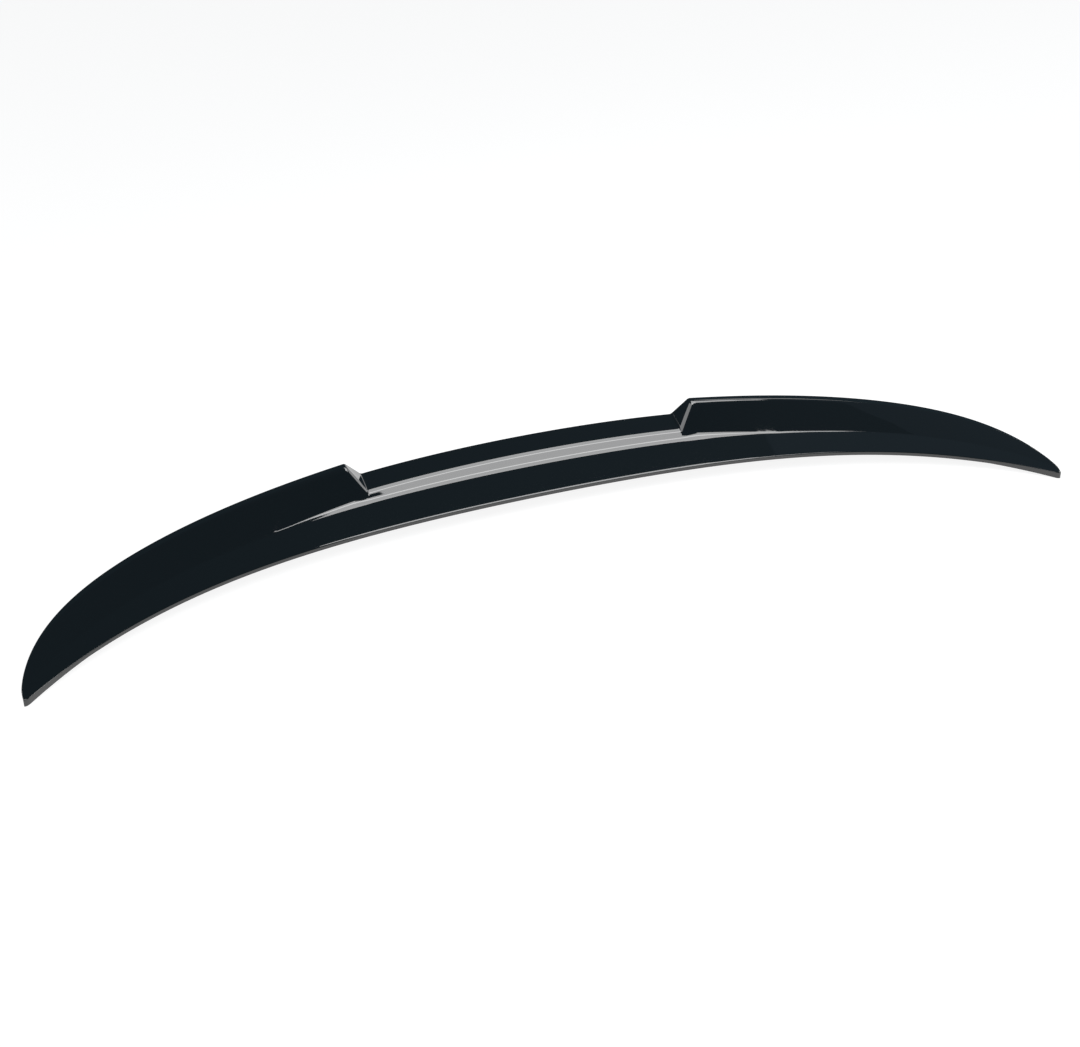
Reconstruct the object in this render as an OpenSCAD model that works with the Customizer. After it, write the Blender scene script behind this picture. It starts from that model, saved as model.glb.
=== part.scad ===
// Stick-on boot-lid spoiler for a saloon car: one thin-walled moulding with raised wings and a stepped
// centre. X runs along the span, +Y is the car's rear and +Z is up. It stands on its rear foot and its tips.
// It is a skin lofted through cross-sections. Each section is an outline of corners in Y and Z, measured from
// the leading edge, with an arc at each corner and the hollow underside inside it.

/* [Overall form] */
// Length from tip to tip
span = 1177; // [900:1:1500]
// Sweep of the leading edge towards the car's front, the even part
plan_bow = 68; // [30:1:100]
// Sweep of the leading edge towards the car's front, the part that gathers near the tips
plan_sweep = 82; // [40:1:120]
// Height of the leading edge's middle above its tips
crown = 14; // [8:0.5:30]
// How squarely the tips end in plan, as a power
tip_squareness = 15; // [10:1:24]
// Radius in plan of the corner between the leading edge and the tip
tip_round = 8; // [3:0.5:9]

/* [Front plate] */
// Thickness of the leading edge
edge_thickness = 4; // [3:0.1:6]
// How much deeper the leading edge's face gets at the tips
tip_face_gain = 3.6; // [0:0.2:5]
// Lean of the leading edge's face
edge_lean_depth = 0.6; // [0:0.1:2]
// Depth of the plate from the leading edge to where the crease's hollow starts, at the middle
plate_depth = 39.5; // [34:0.5:43]
// Depth that the plate loses by the tips
plate_depth_loss = 14.8; // [0:0.1:20]
// Height over the leading edge's lower line of where the crease's hollow starts, at the middle
crease_height = 14.8; // [12:0.1:17]
// Height that it loses by the tips
crease_height_loss = 5.6; // [4.6:0.1:7]

/* [Stepped centre] */
// Depth from the leading edge to where the riser's rounded top ends, at the middle
riser_depth = 55; // [51:0.5:62]
// Depth that it would lose by the tips
riser_depth_loss = 30; // [20:1:45]
// Height over the leading edge of where the riser's rounded top ends, at the middle
riser_height = 25; // [22:0.1:28]
// Height that it would lose by the tips
riser_height_loss = 14; // [6:0.5:20]
// Depth from the leading edge to the centre's rear edge, at the middle
centre_depth = 81; // [72:0.1:95]
// Depth that the centre's rear edge would lose by the tips
centre_depth_loss = 26; // [10:1:40]
// Height of the centre's rear edge over the leading edge, at the middle
centre_height = 32.2; // [30:0.1:40]
// Height that the centre's rear edge would lose by the tips
centre_height_loss = 24; // [10:1:40]

/* [Ramps] */
// Distance from the middle to the foot of the ramp, where the centre ends
ramp_foot = 188; // [120:1:260]
// Width of the ramp, from its foot to the wing's peak
ramp_width = 19; // [14:1:50]
// Distance over which the ramp's foot and its top are rounded
ramp_round = 2; // [0.5:0.1:4]

/* [Raised wings] */
// Depth from the leading edge to the wing's rear top edge
wing_depth = 75; // [64:0.5:82]
// Depth that the wing gains by the tips
wing_depth_gain = 3.5; // [0:0.5:14]
// Height of the wing's rear top edge over the leading edge, if it ran on to the middle
wing_height = 66; // [60:0.5:80]
// Height that the wing loses by the tips
wing_height_loss = 45; // [36:0.5:50]
// Width of the wing's top
wing_top = 10; // [8:0.1:12]
// Rise of the wing's top towards its rear edge
wing_top_rise = 0.8; // [0:0.1:2]

/* [Edge radii] */
// Radius along the leading edge
edge_round = 1.2; // [0.6:0.1:1.8]
// Radius of the crease's hollow, at the riser's foot
riser_fillet = 14; // [6:0.5:15]
// Radius of the crease's hollow, at the wing's inner end
wing_fillet = 20; // [10:0.5:22]
// Radius of the crease's hollow, out along the wing
wing_fillet_out = 2.5; // [2:0.5:8]
// Distance from the middle at which the hollow is as tight as it gets
tightest_at = 300; // [270:10:500]
// Radius on the riser's top edge
riser_round = 12; // [6:0.5:13]
// Radius on the wing's front top edge, at its peak
wing_front_round = 9; // [5:0.5:10]
// Radius on the wing's front top edge, at the tips
wing_front_round_out = 3; // [2:0.5:5]
// Radius on the wing's rear top edge
wing_rear_round = 2; // [1:0.1:2.6]
// Radius on the centre's rear top edge
centre_rear_round = 1.6; // [0.8:0.1:2.4]

/* [Underside] */
// Wall of the moulding
wall = 3; // [2:0.1:3.6]
// Width of the bonding land under the leading edge
land_width = 16; // [12:0.5:18]
// Distance that the rear foot stands behind the rear top edge
foot_flare = 2.5; // [1:0.1:5]
// Thickness of the rear foot where it meets the boot lid
foot_thickness = 6; // [4:0.1:8]
// Height over which the foot thins to the wall
foot_height = 8; // [4:0.5:10]
// Thickness of the cross ribs
rib_thickness = 2.4; // [1.6:0.1:4]
// Distance between the cross ribs
rib_pitch = 110; // [80:1:125]
// Number of cross ribs each side of the middle one
ribs_per_side = 4; // [2:1:4]
// Height that the ribs stop short of the underside
rib_recess = 2; // [0.5:0.1:5]

/* [Hidden] */

// Shares of half the span: 0 is the middle and 1 is where the wing has closed, just beyond the last section
TIP_END = 0.998;
half_span = span / 2 / TIP_END;
// Share at which the leading edge's face starts to get deeper
FACE_GAIN_START = 0.88;
// Shares at which the hollow starts to close and has closed
HOLLOW_START = 0.88;
HOLLOW_END = 0.955;
// Distances from the middle over which the rear foot passes from the centre's line to the wing's
FOOT_BLEND = [0.81 * ramp_foot, 1.62 * ramp_foot];
// Steps of the arcs at the corners of the outer outline, from the leading edge to the rear top edge
OUTER_STEPS = [3, 5, 4, 3];
// Steps of the arcs at the corners of the hollow, from the rear top edge to the crease
INNER_STEPS = [2, 2, 3];
// Largest and smallest share of an outline's side that an arc takes
ARC_SHARE = 0.45;
ARC_LEAST = 0.04;
// Smallest radius in the hollow underside
INNER_ROUND = 0.5;
// First guess of a crease's reach, as a share of its radius
REACH_GUESS = 0.3;
// Largest wall as a share of the wing's top width, so that both of its walls fit
WALL_SHARE = 0.62;
// Draft of a rib's side over its height
RIB_DRAFT = 0.3;

// Blending
function blend(a, b, t) = a + (b - a) * t;
function share(x, from, to) = min(1, max(0, (x - from) / (to - from)));
function soft(t) = t * t * (3 - 2 * t);

// A straight climb from 0 to 1 whose two ends are rounded over e
function rounded_climb(t, e) =
    t <= -e ? 0 :
    t < e ? (t + e) ^ 2 / (4 * e) :
    t <= 1 - e ? t :
    t < 1 + e ? 1 - (1 + e - t) ^ 2 / (4 * e) : 1;

// Lines and corners in a section
function heading(a, b) = atan2(b.y - a.y, b.x - a.x);
function turn(a, p, b) =
    let (t = heading(p, b) - heading(a, p))
    t > 180 ? t - 360 : t < -180 ? t + 360 : t;

// Arc of radius r at corner p between the lines from a and to b
function corner(a, p, b, r, steps) =
    let (
        bend = turn(a, p, b),
        half_tan = max(0.001, tan(abs(bend) / 2)),
        side = min(norm(p - a), norm(b - p)),
        reach = min(max(r * half_tan, ARC_LEAST * side), ARC_SHARE * side),
        radius = sign(bend) * reach / half_tan,
        h0 = heading(a, p),
        start = p - reach * [cos(h0), sin(h0)]
    )
    [for (i = [0:steps])
        let (h = h0 + bend * i / steps)
        start + radius * [sin(h) - sin(h0), cos(h0) - cos(h)]];

// The line from a to b, moved by d to its right, which is into the wall
function moved(a, b, d) =
    let (h = heading(a, b), n = d * [sin(h), -cos(h)])
    [a + n, b + n];

// Where two lines cross
function crossing(l, m) =
    let (
        u = l[1] - l[0],
        v = m[1] - m[0],
        w = m[0] - l[0],
        t = (w.x * v.y - w.y * v.x) / (u.x * v.y - u.y * v.x)
    )
    l[0] + t * u;

// How far the leading edge turns back where its corner with the tip is rounded
function tip_turn(s) = tip_round * (1 - sqrt(1 - share(s * half_span, half_span - tip_round, half_span) ^ 2));

// The leading edge, from which each section is measured, and the lower end of its face
function lead_y(s) = tip_turn(s) - plan_bow * s ^ 2 - plan_sweep * s ^ 4;
function lead_z(s) = tip_face_gain + crown * (1 - s ^ 4);
function lead_low(s) = [0, -tip_face_gain * share(s, FACE_GAIN_START, 1)];

// What is left of the wing towards the tip: 1 along the wing and 0 where it has closed
function closing(s) = sqrt(max(0, 1 - s ^ tip_squareness));
function wing_reach(s) = wing_depth + wing_depth_gain * s ^ 2;
function closing_depth(s) = closing(s) - tip_turn(s) / wing_reach(s);

// How much of the ramp is climbed
function climb(s) = rounded_climb((s * half_span - ramp_foot) / ramp_width, ramp_round / ramp_width);

// Points of the outer outline: where the crease's hollow starts, and where the riser's rounded top ends
function lead_top() = [edge_lean_depth, edge_thickness];
function crease_start(s) = [
    (plate_depth - plate_depth_loss * s ^ 2) * closing_depth(s),
    edge_thickness + (crease_height - edge_thickness - crease_height_loss * s ^ 2) * closing(s)
];
function riser_end(s) = [riser_depth - riser_depth_loss * s ^ 2, riser_height - riser_height_loss * s ^ 2];
function centre_rear(s) = [
    centre_depth - centre_depth_loss * s ^ 2,
    centre_height - centre_height_loss * s ^ 2
];
function wing_rear(s) = [
    wing_reach(s) * closing_depth(s),
    edge_thickness + (wing_height - edge_thickness - wing_height_loss * s) * closing(s)
];
function wing_front(s) = wing_rear(s) - [wing_top, wing_top_rise] * closing(s);
function top_rear(s) = blend(centre_rear(s), wing_rear(s), climb(s));
function foot_outer(s) =
    let (over = soft(share(s * half_span, FOOT_BLEND[0], FOOT_BLEND[1])))
    [blend(centre_rear(s).x, wing_rear(s).x, over) + foot_flare * closing(s), -lead_z(s)];

// Radii along the span
function wing_low_radius(s) =
    blend(wing_fillet, wing_fillet_out, share(s * half_span, ramp_foot, tightest_at));
function low_radius(s) = blend(riser_fillet, wing_low_radius(s), climb(s));
function front_radius(s) =
    blend(riser_round, blend(wing_front_round, wing_front_round_out, share(s, 0.3, 1)), climb(s));
function rear_radius(s) = blend(centre_rear_round, wing_rear_round, climb(s));

// The outline's corner beyond point p, on the line from a through p, whose arc of radius r starts at p
function beyond(a, p, reach) = p + reach * (p - a) / norm(p - a);
function corner_from(a, p, b, r) =
    let (guess = beyond(a, p, REACH_GUESS * r))
    beyond(a, p, r * tan(abs(turn(a, guess, b)) / 2));

// Corners at the riser's top and along the wing's front top edge, and then at the crease
function riser_corner(s) = corner_from(centre_rear(s), riser_end(s), crease_start(s), riser_round);
function top_front(s) = blend(riser_corner(s), wing_front(s), climb(s));
function crease(s) = corner_from(lead_top(), crease_start(s), top_front(s), low_radius(s) * closing(s));

// Wall, land and foot, which get smaller where the tip leaves them no room
function wall_at(s) = min(wall, WALL_SHARE * wing_top * closing(s));
function land_at(s) = min(land_width, ARC_SHARE * crease_start(s).x);
function foot_at(s) = min(foot_thickness, ARC_SHARE / 2 * foot_outer(s).x);

// How deep the hollow is: 1 between the ribs, less than 1 under a rib, and 0 in the tips
function nearest_rib(x) = rib_pitch * min(ribs_per_side, round(x / rib_pitch));
function rib_clear(x) = share(abs(x - nearest_rib(x)), rib_thickness / 2, rib_thickness / 2 + RIB_DRAFT);
function tip_clear(s) = soft(1 - share(s, HOLLOW_START, HOLLOW_END));
function hollow(s) =
    tip_clear(s) * blend(rib_recess / (centre_height + lead_z(0)), 1, rib_clear(s * half_span));

// Outline of one section, counter-clockwise seen from -X: outer skin from front to rear, then the underside
function section(s) =
    let (
        lead = lead_low(s),
        top = lead_top(),
        low = crease(s),
        front = top_front(s),
        rear = top_rear(s),
        foot = foot_outer(s),
        t = wall_at(s),
        plate_in = moved(top, low, t),
        face_in = moved(low, front, t),
        shelf_in = moved(front, rear, t),
        rear_in = moved(rear, foot, t),
        low_in = crossing(plate_in, face_in),
        front_in = crossing(face_in, shelf_in),
        top_in = crossing(shelf_in, rear_in),
        foot_in = foot - [foot_at(s), 0],
        foot_level = foot + [0, min(foot_height, ARC_SHARE * (rear.y - foot.y))],
        foot_top = crossing(rear_in, [foot_level, foot_level - [1, 0]]),
        slope = heading(top, low),
        land_end = lead + land_at(s) * [cos(slope), sin(slope)],
        land_top = crossing(plate_in, [land_end, land_end + [-sin(slope), cos(slope)]]),
        inner_round = function(r) max(INNER_ROUND, r - t),
        skin = concat(
            [foot_top],
            corner(foot_top, top_in, front_in, inner_round(rear_radius(s)), INNER_STEPS[0]),
            corner(top_in, front_in, low_in, inner_round(front_radius(s)), INNER_STEPS[1]),
            corner(front_in, low_in, land_top, low_radius(s) + t, INNER_STEPS[2]),
            [land_top]
        ),
        last = len(skin) + 1
    )
    concat(
        [lead],
        corner(lead, top, low, edge_round, OUTER_STEPS[0]),
        corner(top, low, front, low_radius(s), OUTER_STEPS[1]),
        corner(low, front, rear, front_radius(s), OUTER_STEPS[2]),
        corner(front, rear, foot, rear_radius(s), OUTER_STEPS[3]),
        [foot, foot_in],
        [for (i = [0:len(skin) - 1]) blend(blend(foot_in, land_end, (i + 1) / last), skin[i], hollow(s))],
        [land_end]
    );

// Places of the sections on one side, as distances from the middle
CENTRE_STEPS = 12;
RAMP_STEPS = 6;
WING_STEPS = 20;
TIP_STEPS = 11;
TIP_START = 0.92;
wing_start = ramp_foot + ramp_width + ramp_round;
function centre_places() = [for (i = [1:CENTRE_STEPS]) (ramp_foot - ramp_round) * i / CENTRE_STEPS];
function ramp_places() = [for (i = [1:RAMP_STEPS]) blend(ramp_foot - ramp_round, wing_start, i / RAMP_STEPS)];
function wing_places() = [for (i = [1:WING_STEPS]) blend(wing_start, TIP_START * half_span, i / WING_STEPS)];
function tip_places() =
    let (from = asin(TIP_START), to = asin(TIP_END))
    [for (i = [1:TIP_STEPS]) half_span * sin(blend(from, to, i / TIP_STEPS))];
function rib_places() = [
    for (i = [0:ribs_per_side], side = [-1, 1], edge = [rib_thickness / 2, rib_thickness / 2 + RIB_DRAFT])
    if (i * rib_pitch + side * edge > 0) i * rib_pitch + side * edge
];

function sorted(list) =
    len(list) <= 1 ? list :
    let (
        pivot = list[floor(len(list) / 2)],
        less = [for (v = list) if (v < pivot) v],
        same = [for (v = list) if (v == pivot) v],
        more = [for (v = list) if (v > pivot) v]
    )
    concat(sorted(less), same, sorted(more));

// Sections closer together than this are one
CLOSEST = RIB_DRAFT / 2;
function thinned(list) = [for (i = [0:len(list) - 1]) if (i == 0 || list[i] - list[i - 1] > CLOSEST) list[i]];

all_places = concat(centre_places(), ramp_places(), wing_places(), tip_places(), rib_places());
side_places = thinned(sorted(all_places));
places = concat([for (i = [len(side_places) - 1:-1:0]) -side_places[i]], [0], side_places);

// The row's origin lies under the middle of the part's outer box
foremost = min([for (x = side_places) lead_y(x / half_span)]);
y_middle = (foremost + centre_depth + foot_flare) / 2;

// Skin through closed outlines, one ring of points for each place, and an end fanned from its middle
module loft(rings) {
    n = len(rings[0]);
    last = len(rings) - 1;
    mean = [for (p = rings[0]) 1 / n];
    points = concat([for (ring = rings) each ring], [mean * rings[0], mean * rings[last]]);
    middle = len(points) - 2;
    sides = [
        for (i = [0:last - 1], j = [0:n - 1])
            let (a = i * n + j, b = i * n + (j + 1) % n)
            each [[a, b, b + n], [a, b + n, a + n]]
    ];
    first_cap = [for (j = [0:n - 1]) [middle, (j + 1) % n, j]];
    last_cap = [for (j = [0:n - 1]) [middle + 1, last * n + j, last * n + (j + 1) % n]];
    polyhedron(points, concat(sides, first_cap, last_cap), convexity = 8);
}

module spoiler() {
    color([0.07, 0.08, 0.09])
        loft([
            for (x = places)
                let (s = abs(x) / half_span)
                [for (p = section(s)) [x, lead_y(s) + p.x - y_middle, lead_z(s) + p.y]]
        ]);
}

spoiler();
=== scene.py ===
import cmath
import math

import bpy
from mathutils import Matrix, Vector


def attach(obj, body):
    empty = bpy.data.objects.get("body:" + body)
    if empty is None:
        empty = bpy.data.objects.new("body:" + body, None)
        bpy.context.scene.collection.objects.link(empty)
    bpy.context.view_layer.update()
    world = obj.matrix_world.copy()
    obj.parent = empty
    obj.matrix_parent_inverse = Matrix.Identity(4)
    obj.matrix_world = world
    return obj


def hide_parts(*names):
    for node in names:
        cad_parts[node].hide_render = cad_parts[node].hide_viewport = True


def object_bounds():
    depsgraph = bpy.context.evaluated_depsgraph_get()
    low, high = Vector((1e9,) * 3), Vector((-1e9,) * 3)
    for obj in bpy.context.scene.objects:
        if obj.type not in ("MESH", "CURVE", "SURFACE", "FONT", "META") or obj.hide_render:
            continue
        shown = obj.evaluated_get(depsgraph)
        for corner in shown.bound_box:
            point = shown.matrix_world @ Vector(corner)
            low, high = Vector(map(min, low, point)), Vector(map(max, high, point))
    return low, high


# Looks of a stick-on boot-lid spoiler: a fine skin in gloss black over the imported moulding, on a pale floor.
# The row frame is in metres: X along the span, +Y the car's rear, +Z up.
# The part's own sizes are in millimetres.
MM = 0.001

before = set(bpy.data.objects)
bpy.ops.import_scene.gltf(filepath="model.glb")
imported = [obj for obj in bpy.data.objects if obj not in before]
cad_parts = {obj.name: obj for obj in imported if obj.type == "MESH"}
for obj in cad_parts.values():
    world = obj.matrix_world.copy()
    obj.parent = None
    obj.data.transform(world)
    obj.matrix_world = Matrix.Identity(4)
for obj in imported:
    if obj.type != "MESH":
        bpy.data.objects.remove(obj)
cad_low, cad_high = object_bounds()

# Overall form, with the same names as in the part's source
SPAN = (cad_high.x - cad_low.x) / MM
PLAN_BOW = 68
PLAN_SWEEP = 82
CROWN = 14
TIP_SQUARENESS = 15
TIP_ROUND = 8

# Front plate
EDGE_THICKNESS = 4
TIP_FACE_GAIN = 3.6
EDGE_LEAN_DEPTH = 0.6
PLATE_DEPTH = 39.5
PLATE_DEPTH_LOSS = 14.8
CREASE_HEIGHT = 14.8
CREASE_HEIGHT_LOSS = 5.6

# Stepped centre
RISER_DEPTH = 55
RISER_DEPTH_LOSS = 30
RISER_HEIGHT = 25
RISER_HEIGHT_LOSS = 14
CENTRE_DEPTH = 81
CENTRE_DEPTH_LOSS = 26
CENTRE_HEIGHT = 32.2
CENTRE_HEIGHT_LOSS = 24

# Ramps
RAMP_FOOT = 188
RAMP_WIDTH = 19
RAMP_ROUND = 2

# Raised wings
WING_DEPTH = 75
WING_DEPTH_GAIN = 3.5
WING_HEIGHT = 66
WING_HEIGHT_LOSS = 45
WING_TOP = 10
WING_TOP_RISE = 0.8

# Edge radii
EDGE_ROUND = 1.2
RISER_FILLET = 14
WING_FILLET = 20
WING_FILLET_OUT = 2.5
TIGHTEST_AT = 300
RISER_ROUND = 12
WING_FRONT_ROUND = 9
WING_FRONT_ROUND_OUT = 3
WING_REAR_ROUND = 2
CENTRE_REAR_ROUND = 1.6

# Underside
WALL = 3
LAND_WIDTH = 16
FOOT_FLARE = 2.5
FOOT_THICKNESS = 6
FOOT_HEIGHT = 8
RIB_THICKNESS = 2.4
RIB_PITCH = 110
RIBS_PER_SIDE = 4
RIB_RECESS = 2
RIB_DRAFT = 0.3

# Shares of half the span: 1 is where the wing has closed, and the last section is just short of it
TIP_END = 0.998
TIP_START = 0.92
HALF_SPAN = SPAN / 2 / TIP_END
FACE_GAIN_START = 0.88
HOLLOW_START = 0.88
HOLLOW_END = 0.955
WING_ROUND_START = 0.3
FOOT_BLEND = (0.81 * RAMP_FOOT, 1.62 * RAMP_FOOT)
ARC_SHARE = 0.45
ARC_LEAST = 0.04
INNER_ROUND = 0.5
REACH_GUESS = 0.3
WALL_SHARE = 0.62
LEAST_TAN = 0.001

# Fineness of the visual skin: steps of the arcs, places of points on a straight stretch,
# and gaps between sections
OUTER_STEPS = (6, 16, 14, 6)
INNER_STEPS = (3, 5, 5)
STRAIGHT_SHARES = (0.03, 0.35, 0.65, 0.97)
CENTRE_GAP = 4.0
RAMP_GAP = 0.7
WING_GAP = 4.0
TIP_STEPS = 36
RIB_CLEARANCE = 0.6
SKIN_SHARP_ANGLE = 35

# Height over the floor of the soft box and of the lamps beside it
SOFT_BOX_HEIGHT = 0.8


def blend(a, b, t):
    return a + (b - a) * t


def share(x, start, end):
    return min(1.0, max(0.0, (x - start) / (end - start)))


def soft(t):
    return t * t * (3 - 2 * t)


def rounded_climb(t, e):
    """A straight climb from 0 to 1 whose two ends are rounded over e."""
    if t <= -e:
        return 0.0
    if t < e:
        return (t + e) ** 2 / (4 * e)
    if t <= 1 - e:
        return t
    if t < 1 + e:
        return 1 - (1 + e - t) ** 2 / (4 * e)
    return 1.0


# Lines and corners in a section, whose points are complex numbers: real is Y and imaginary is Z


def unit(a, b):
    return (b - a) / abs(b - a)


def turn(a, p, b):
    return cmath.phase(unit(p, b) / unit(a, p))


def corner(a, p, b, radius, steps):
    """Arc at corner p between the lines from a and to b."""
    bend = turn(a, p, b)
    half_tan = max(LEAST_TAN, math.tan(abs(bend) / 2))
    side = min(abs(p - a), abs(b - p))
    reach = min(max(radius * half_tan, ARC_LEAST * side), ARC_SHARE * side)
    centre = p - reach * unit(a, p) + math.copysign(reach / half_tan, bend) * 1j * unit(a, p)
    spoke = p - reach * unit(a, p) - centre
    return [centre + spoke * cmath.exp(1j * bend * i / steps) for i in range(steps + 1)]


def moved(a, b, distance):
    """The line from a to b, moved to its right, which is into the wall."""
    across = -1j * distance * unit(a, b)
    return a + across, b + across


def cross(a, b):
    return (a.conjugate() * b).imag


def crossing(line, other):
    u = line[1] - line[0]
    v = other[1] - other[0]
    return line[0] + u * cross(other[0] - line[0], v) / cross(u, v)


def straight(a, b):
    return [blend(a, b, t) for t in STRAIGHT_SHARES]


# The part's driving curves along the span


def tip_turn(s):
    """How far the leading edge turns back where its corner with the tip is rounded."""
    return TIP_ROUND * (1 - math.sqrt(1 - share(s * HALF_SPAN, HALF_SPAN - TIP_ROUND, HALF_SPAN) ** 2))


def lead_y(s):
    return tip_turn(s) - PLAN_BOW * s**2 - PLAN_SWEEP * s**4


def lead_z(s):
    return TIP_FACE_GAIN + CROWN * (1 - s**4)


def lead_low(s):
    return complex(0, -TIP_FACE_GAIN * share(s, FACE_GAIN_START, 1))


def closing(s):
    return math.sqrt(max(0.0, 1 - s**TIP_SQUARENESS))


def wing_reach(s):
    return WING_DEPTH + WING_DEPTH_GAIN * s**2


def closing_depth(s):
    return closing(s) - tip_turn(s) / wing_reach(s)


def climb(s):
    return rounded_climb((s * HALF_SPAN - RAMP_FOOT) / RAMP_WIDTH, RAMP_ROUND / RAMP_WIDTH)


LEAD_TOP = complex(EDGE_LEAN_DEPTH, EDGE_THICKNESS)


def crease_start(s):
    depth = (PLATE_DEPTH - PLATE_DEPTH_LOSS * s**2) * closing_depth(s)
    height = (CREASE_HEIGHT - EDGE_THICKNESS - CREASE_HEIGHT_LOSS * s**2) * closing(s)
    return complex(depth, EDGE_THICKNESS + height)


def riser_end(s):
    return complex(RISER_DEPTH - RISER_DEPTH_LOSS * s**2, RISER_HEIGHT - RISER_HEIGHT_LOSS * s**2)


def centre_rear(s):
    return complex(CENTRE_DEPTH - CENTRE_DEPTH_LOSS * s**2, CENTRE_HEIGHT - CENTRE_HEIGHT_LOSS * s**2)


def wing_rear(s):
    depth = wing_reach(s) * closing_depth(s)
    height = (WING_HEIGHT - EDGE_THICKNESS - WING_HEIGHT_LOSS * s) * closing(s)
    return complex(depth, EDGE_THICKNESS + height)


def wing_front(s):
    return wing_rear(s) - complex(WING_TOP, WING_TOP_RISE) * closing(s)


def top_rear(s):
    return blend(centre_rear(s), wing_rear(s), climb(s))


def foot_outer(s):
    over = soft(share(s * HALF_SPAN, *FOOT_BLEND))
    depth = blend(centre_rear(s).real, wing_rear(s).real, over) + FOOT_FLARE * closing(s)
    return complex(depth, -lead_z(s))


def low_radius(s):
    wing = blend(WING_FILLET, WING_FILLET_OUT, share(s * HALF_SPAN, RAMP_FOOT, TIGHTEST_AT))
    return blend(RISER_FILLET, wing, climb(s))


def front_radius(s):
    wing = blend(WING_FRONT_ROUND, WING_FRONT_ROUND_OUT, share(s, WING_ROUND_START, 1))
    return blend(RISER_ROUND, wing, climb(s))


def rear_radius(s):
    return blend(CENTRE_REAR_ROUND, WING_REAR_ROUND, climb(s))


def corner_from(a, p, b, radius):
    """The corner beyond p, on the line from a through p, whose arc starts at p."""
    guess = p + REACH_GUESS * radius * unit(a, p)
    return p + radius * math.tan(abs(turn(a, guess, b)) / 2) * unit(a, p)


def top_front(s):
    riser_corner = corner_from(centre_rear(s), riser_end(s), crease_start(s), RISER_ROUND)
    return blend(riser_corner, wing_front(s), climb(s))


def crease(s):
    return corner_from(LEAD_TOP, crease_start(s), top_front(s), low_radius(s) * closing(s))


# The underside


def nearest_rib(x):
    return RIB_PITCH * min(RIBS_PER_SIDE, math.floor(x / RIB_PITCH + 0.5))


def hollow(s):
    """How deep the hollow is: 1 between the ribs, less under a rib and 0 in the tips."""
    x = s * HALF_SPAN
    clear = share(abs(x - nearest_rib(x)), RIB_THICKNESS / 2, RIB_THICKNESS / 2 + RIB_DRAFT)
    tip_clear = soft(1 - share(s, HOLLOW_START, HOLLOW_END))
    return tip_clear * blend(RIB_RECESS / (CENTRE_HEIGHT + lead_z(0)), 1, clear)


def outer_outline(s):
    """Outer skin of a section from the leading edge's lower line to the rear foot."""
    low = crease(s)
    front = top_front(s)
    rear = top_rear(s)
    foot = foot_outer(s)
    arcs = [
        corner(lead_low(s), LEAD_TOP, low, EDGE_ROUND, OUTER_STEPS[0]),
        corner(LEAD_TOP, low, front, low_radius(s), OUTER_STEPS[1]),
        corner(low, front, rear, front_radius(s), OUTER_STEPS[2]),
        corner(front, rear, foot, rear_radius(s), OUTER_STEPS[3]),
    ]
    points = [lead_low(s)]
    for arc, next_point in zip(arcs, [arcs[1][0], arcs[2][0], arcs[3][0], foot]):
        points += arc + straight(arc[-1], next_point)
    return points + [foot]


def under_outline(s):
    """Underside of a section from the rear foot to the bonding land."""
    low = crease(s)
    front = top_front(s)
    rear = top_rear(s)
    foot = foot_outer(s)
    wall = min(WALL, WALL_SHARE * WING_TOP * closing(s))
    plate_in = moved(LEAD_TOP, low, wall)
    face_in = moved(low, front, wall)
    shelf_in = moved(front, rear, wall)
    rear_in = moved(rear, foot, wall)
    low_in = crossing(plate_in, face_in)
    front_in = crossing(face_in, shelf_in)
    top_in = crossing(shelf_in, rear_in)
    foot_in = foot - min(FOOT_THICKNESS, ARC_SHARE / 2 * foot.real)
    foot_level = foot + 1j * min(FOOT_HEIGHT, ARC_SHARE * (rear - foot).imag)
    foot_top = crossing(rear_in, (foot_level, foot_level - 1))
    slope = unit(LEAD_TOP, low)
    land_end = lead_low(s) + min(LAND_WIDTH, ARC_SHARE * crease_start(s).real) * slope
    land_top = crossing(plate_in, (land_end, land_end + 1j * slope))
    rear_round = max(INNER_ROUND, rear_radius(s) - wall)
    front_round = max(INNER_ROUND, front_radius(s) - wall)
    skin = [foot_top]
    skin += corner(foot_top, top_in, front_in, rear_round, INNER_STEPS[0])
    skin += corner(top_in, front_in, low_in, front_round, INNER_STEPS[1])
    skin += corner(front_in, low_in, land_top, low_radius(s) + wall, INNER_STEPS[2])
    skin += [land_top]
    depth = hollow(s)
    flat = [blend(foot_in, land_end, (i + 1) / (len(skin) + 1)) for i in range(len(skin))]
    return [foot_in] + [blend(a, b, depth) for a, b in zip(flat, skin)] + [land_end]


def even_places(start, end, gap):
    steps = math.ceil((end - start) / gap)
    return [blend(start, end, i / steps) for i in range(steps)]


def section_places():
    """Distances of the sections from the middle, out to the tip."""
    wing_start = RAMP_FOOT + RAMP_WIDTH + RAMP_ROUND
    tip_from = math.asin(TIP_START)
    tip_to = math.asin(TIP_END)
    places = even_places(0, RAMP_FOOT - RAMP_ROUND, CENTRE_GAP)
    places += even_places(RAMP_FOOT - RAMP_ROUND, wing_start, RAMP_GAP)
    places += even_places(wing_start, TIP_START * HALF_SPAN, WING_GAP)
    places += [HALF_SPAN * math.sin(blend(tip_from, tip_to, i / TIP_STEPS)) for i in range(TIP_STEPS + 1)]
    edges = (RIB_THICKNESS / 2, RIB_THICKNESS / 2 + RIB_DRAFT)
    ribs = [i * RIB_PITCH + side * e for i in range(RIBS_PER_SIDE + 1) for side in (-1, 1) for e in edges]
    ribs = [x for x in ribs if x > 0]
    places = [x for x in places if all(abs(x - rib) > RIB_CLEARANCE for rib in ribs)]
    return sorted(places + ribs)


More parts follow.
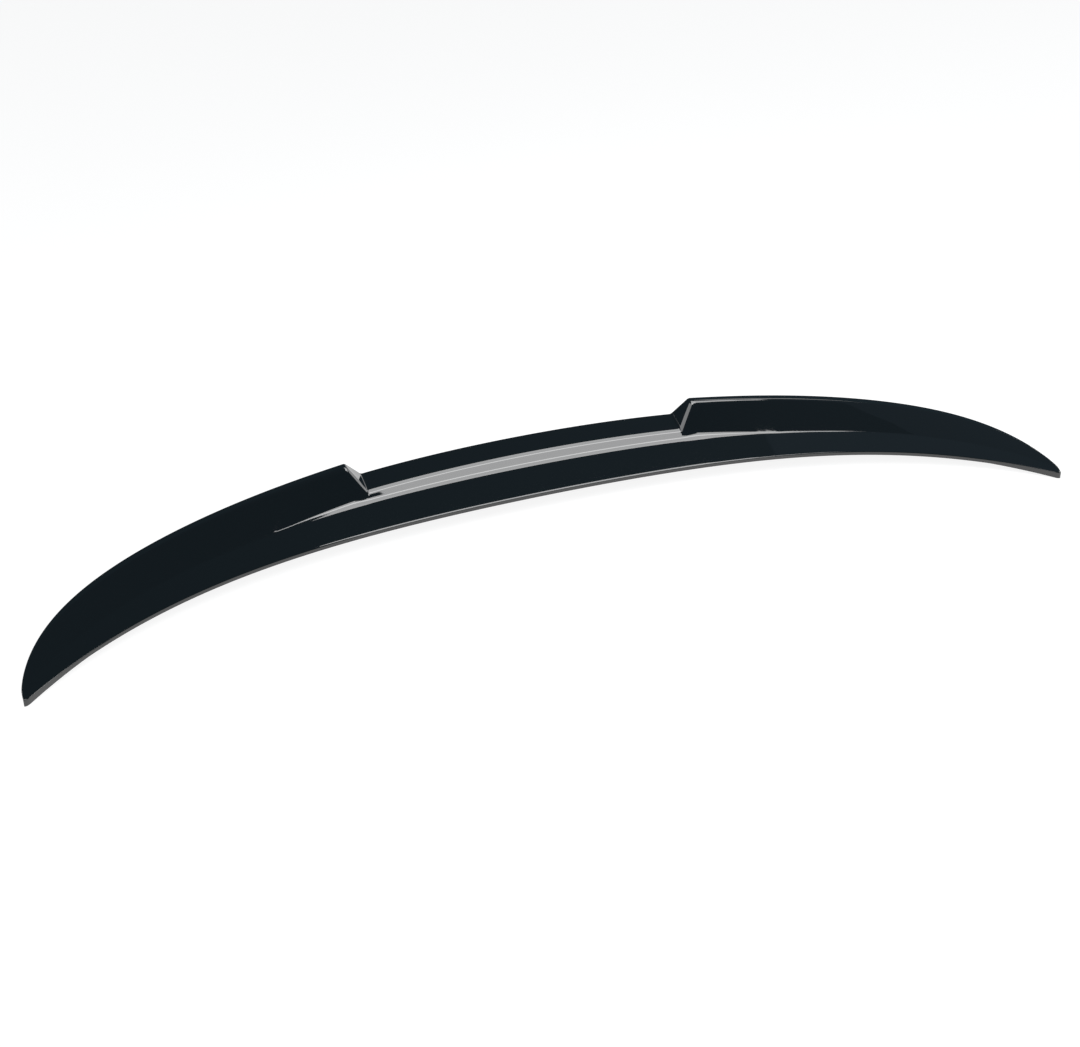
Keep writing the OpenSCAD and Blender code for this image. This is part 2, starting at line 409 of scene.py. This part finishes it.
def new_mesh_object(name, points, faces):
    mesh = bpy.data.meshes.new(name)
    mesh.from_pydata(points, [], faces)
    mesh.update()
    piece = bpy.data.objects.new(name, mesh)
    bpy.context.scene.collection.objects.link(piece)
    return piece


def skin_object():
    """The moulding as one closed skin, with its underside in a second material slot.

    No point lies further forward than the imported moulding, so that the finer skin stays in its box.
    """
    y_middle = CENTRE_DEPTH + FOOT_FLARE - cad_high.y / MM
    side = section_places()
    places = [-x for x in reversed(side) if x > 0] + side
    points = []
    for x in places:
        s = abs(x) / HALF_SPAN
        outer = outer_outline(s)
        under = under_outline(s)
        for p in outer + under:
            y = max((lead_y(s) + p.real - y_middle) * MM, cad_low.y)
            points.append((x * MM, y, (lead_z(s) + p.imag) * MM))
    ring = len(outer) + len(under)
    faces = []
    slots = []
    for i in range(len(places) - 1):
        for j in range(ring):
            a = i * ring + j
            b = i * ring + (j + 1) % ring
            faces.append((a, b, b + ring, a + ring))
            slots.append(0 if j < len(outer) - 1 else 1)
    last = (len(places) - 1) * ring
    faces.append(tuple(range(ring - 1, -1, -1)))
    faces.append(tuple(range(last, last + ring)))
    piece = new_mesh_object("spoiler_skin", points, faces)
    piece.data.polygons.foreach_set("material_index", slots + [0, 0])
    piece.data.shade_smooth()
    piece.data.set_sharp_from_angle(angle=math.radians(SKIN_SHARP_ANGLE))
    return piece


# Materials


class Nodes:
    """A new material's node tree, with short calls to add and join nodes."""

    def __init__(self, name):
        self.material = bpy.data.materials.new(name)
        self.material.use_nodes = True
        self.tree = self.material.node_tree
        self.tree.nodes.clear()

    def add(self, kind, **inputs):
        node = self.tree.nodes.new("ShaderNode" + kind)
        for key, value in inputs.items():
            self.feed(node.inputs[key.replace("_", " ")], value)
        return node

    def feed(self, socket, value):
        if isinstance(value, bpy.types.NodeSocket):
            self.tree.links.new(value, socket)
        else:
            socket.default_value = value

    def finish(self, shader):
        output = self.tree.nodes.new("ShaderNodeOutputMaterial")
        self.tree.links.new(shader, output.inputs["Surface"])
        return self.material


def noise(nodes, place, scale, detail=2.0):
    return nodes.add("TexNoise", Vector=place, Scale=scale, Detail=detail).outputs["Fac"]


def mapped(nodes, value, low, high):
    return nodes.add("MapRange", Value=value, To_Min=low, To_Max=high).outputs["Result"]


def gloss_black():
    """Gloss-black lacquered plastic with a faint orange-peel wave and slightly uneven polish."""
    pigment = (0.0040, 0.0052, 0.0062, 1)
    polish_scale = 45.0
    peel_scale = 420.0
    peel_height = 0.000006
    nodes = Nodes("gloss_black")
    place = nodes.add("TexCoord").outputs["Object"]
    polish = mapped(nodes, noise(nodes, place, polish_scale), 0.02, 0.045)
    peel = noise(nodes, place, peel_scale)
    wave = nodes.add("Bump", Strength=0.5, Distance=peel_height, Height=peel).outputs["Normal"]
    shader = nodes.add("BsdfPrincipled", Base_Color=pigment, Roughness=polish, Normal=wave)
    shader.inputs["IOR"].default_value = 1.5
    shader.inputs["Coat Weight"].default_value = 1.0
    shader.inputs["Coat Roughness"].default_value = 0.03
    return nodes.finish(shader.outputs["BSDF"])


def satin_black():
    """The moulding's bare underside: the same plastic with a fine mould grain."""
    pigment = (0.012, 0.013, 0.015, 1)
    patch_scale = 60.0
    grain_scale = 1400.0
    grain_detail = 3.0
    grain_height = 0.00004
    nodes = Nodes("satin_black")
    place = nodes.add("TexCoord").outputs["Object"]
    roughness = mapped(nodes, noise(nodes, place, patch_scale), 0.34, 0.46)
    grain = noise(nodes, place, grain_scale, grain_detail)
    dents = nodes.add("Bump", Strength=0.6, Distance=grain_height, Height=grain).outputs["Normal"]
    shader = nodes.add("BsdfPrincipled", Base_Color=pigment, Roughness=roughness, Normal=dents)
    return nodes.finish(shader.outputs["BSDF"])


def studio_white(glow):
    """White paper that keeps soft shadows and glows to camera, glossy and transmission rays."""
    grey = (0.2, 0.2, 0.2, 1)
    white = (1, 1, 1, 1)
    nodes = Nodes("studio_white")
    path = nodes.add("LightPath").outputs
    seen = path["Is Camera Ray"]
    for ray in ("Is Glossy Ray", "Is Transmission Ray"):
        largest = nodes.add("Math")
        largest.operation = "MAXIMUM"
        nodes.feed(largest.inputs[0], seen)
        nodes.feed(largest.inputs[1], path[ray])
        seen = largest.outputs[0]
    strength = nodes.add("Math")
    strength.operation = "MULTIPLY"
    nodes.feed(strength.inputs[0], seen)
    nodes.feed(strength.inputs[1], glow)
    paper = nodes.add("BsdfDiffuse", Color=grey).outputs["BSDF"]
    light = nodes.add("Emission", Color=white, Strength=strength.outputs[0]).outputs["Emission"]
    both = nodes.add("AddShader")
    nodes.feed(both.inputs[0], paper)
    nodes.feed(both.inputs[1], light)
    return nodes.finish(both.outputs[0])


# Stage, lamps and camera


def studio_bowl():
    """A round floor that sweeps up into a low wall, so that every view has the same pale background."""
    floor_radius = 10.0
    sweep_radius = 1.5
    wall_top = 3.2
    around = 96
    sweep_steps = 12
    rim_angle = 60
    glow = 0.89
    profile = [(0.0, 0.0), (floor_radius, 0.0)]
    for i in range(1, sweep_steps + 1):
        angle = math.pi / 2 * i / sweep_steps
        profile.append((floor_radius + sweep_radius * math.sin(angle), sweep_radius * (1 - math.cos(angle))))
    profile.append((floor_radius + sweep_radius, wall_top))
    points = [(0.0, 0.0, 0.0)]
    for radius, height in profile[1:]:
        for k in range(around):
            angle = 2 * math.pi * k / around
            points.append((radius * math.cos(angle), radius * math.sin(angle), height))
    faces = [(0, 1 + k, 1 + (k + 1) % around) for k in range(around)]
    for i in range(len(profile) - 2):
        for k in range(around):
            a = 1 + i * around + k
            b = 1 + i * around + (k + 1) % around
            faces.append((a, a + around, b + around, b))
    bowl = new_mesh_object("studio_bowl", points, faces)
    bowl.data.shade_smooth()
    bowl.data.set_sharp_from_angle(angle=math.radians(rim_angle))
    paper = studio_white(glow)
    paper.cycles.emission_sampling = "NONE"
    bowl.data.materials.append(paper)


def lamp(name, centre, size, radiance, turn=0.0, target=None, colour=(1, 1, 1)):
    """A rectangular area lamp of an even brightness that faces target, or straight down and turned."""
    light = bpy.data.lights.new(name, "AREA")
    light.shape = "RECTANGLE"
    light.size, light.size_y = size
    light.energy = math.pi * size[0] * size[1] * radiance
    light.color = colour
    holder = bpy.data.objects.new(name, light)
    holder.location = centre
    if target is None:
        holder.rotation_euler.z = math.radians(turn)
    else:
        direction = Vector(target) - Vector(centre)
        holder.rotation_mode = "QUATERNION"
        holder.rotation_quaternion = direction.to_track_quat("-Z", "Y")
    holder.visible_camera = False
    bpy.context.scene.collection.objects.link(holder)


def along(edge, y):
    """The x of a lamp's edge at y, between the edge's listed (y, x) points."""
    for (y_0, x_0), (y_1, x_1) in zip(edge, edge[1:]):
        if y <= y_1:
            return blend(x_0, x_1, (y - y_0) / (y_1 - y_0))
    return edge[-1][1]


def soft_box():
    """The tapered soft box over the part, laid from narrow strips, with one brighter bar across it."""
    front = -0.58
    back = 0.345
    strips = 20
    even = 4.2
    bright = 7.4
    left_edge = (
        (-0.58, 0.30), (-0.445, 0.30), (-0.44, 0.125),
        (-0.28, 0.07), (0.0, 0.01), (0.345, -0.06),
    )
    right_edge = (
        (-0.58, 0.43), (-0.28, 0.495), (-0.12, 0.53), (0.0, 0.61),
        (0.2, 0.66), (0.25, 0.61), (0.345, 0.5),
    )
    bar = (-0.255, -0.10)
    deep = (back - front) / strips
    for k in range(strips):
        y = front + deep * (k + 0.5)
        left = along(left_edge, y)
        right = along(right_edge, y)
        radiance = bright if bar[0] < y < bar[1] else even
        place = ((left + right) / 2, y, SOFT_BOX_HEIGHT)
        lamp(f"soft_box_{k}", place, (right - left, deep), radiance)


def sky_panels():
    """Faint blue panels, one over the next, that tint the right wing more and more towards its tip."""
    sky = (0.6, 0.78, 1.0)
    radiance = 0.045
    first_side = 0.63
    side_step = 0.018
    far_side = 1.26
    first_front = -0.44
    front_step = 0.015
    back = 0.42
    panels = 24
    for k in range(panels):
        near_side = first_side + side_step * k
        front = first_front + front_step * k
        width = far_side - near_side
        deep = back - front
        place = (near_side + width / 2, front + deep / 2, SOFT_BOX_HEIGHT)
        lamp(f"sky_panel_{k}", place, (width, deep), radiance, colour=sky)


def lights():
    """Lamps placed so that the flats stay dark and the roundings and the crease catch the light."""
    air_colour = (0.45, 0.78, 1.0, 1)
    air_strength = 0.09
    soft_box()
    lamp("left_box", (-1.38, 0.14, 1.6), (3.3, 1.1), 2.2, turn=127)
    lamp("left_front_box", (-0.45, -1.35, 1.6), (1.1, 0.9), 2.0)
    lamp("right_low_box", (2.0, -0.25, 1.1), (2.7, 0.9), 2.3, target=(-0.22, 0, 0.05))
    lamp("right_rear_box", (0.78, 0.54, SOFT_BOX_HEIGHT), (0.24, 0.24), 2.2)
    sky_panels()
    world = bpy.data.worlds.new("studio_air")
    world.use_nodes = True
    background = world.node_tree.nodes["Background"]
    background.inputs["Color"].default_value = air_colour
    background.inputs["Strength"].default_value = air_strength
    bpy.context.scene.world = world


def camera():
    """The photograph's viewpoint, in the row frame."""
    place = (-0.6113, -1.5145, 1.1284)
    azimuth = math.radians(-21.528)
    elevation = math.radians(34.628)
    roll = math.radians(0.867)
    field_of_view = math.radians(33.566)
    sensor_width = 36
    data = bpy.data.cameras.new("photo_view")
    data.sensor_fit = "HORIZONTAL"
    data.sensor_width = sensor_width
    data.lens = sensor_width / 2 / math.tan(field_of_view / 2)
    back = Vector((
        math.sin(azimuth) * math.cos(elevation),
        -math.cos(azimuth) * math.cos(elevation),
        math.sin(elevation),
    ))
    level_right = (-back).cross(Vector((0, 0, 1))).normalized()
    level_up = level_right.cross(-back)
    right = math.cos(roll) * level_right + math.sin(roll) * level_up
    up = math.cos(roll) * level_up - math.sin(roll) * level_right
    facing = Matrix((right, up, back)).transposed().to_4x4()
    holder = bpy.data.objects.new("photo_view", data)
    holder.matrix_world = Matrix.Translation(place) @ facing
    bpy.context.scene.collection.objects.link(holder)
    bpy.context.scene.camera = holder


skin = skin_object()
skin.data.materials.append(gloss_black())
skin.data.materials.append(satin_black())
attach(skin, "root")
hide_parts("spoiler")

studio_bowl()
lights()
camera()
bpy.context.scene.view_settings.view_transform = "Standard"
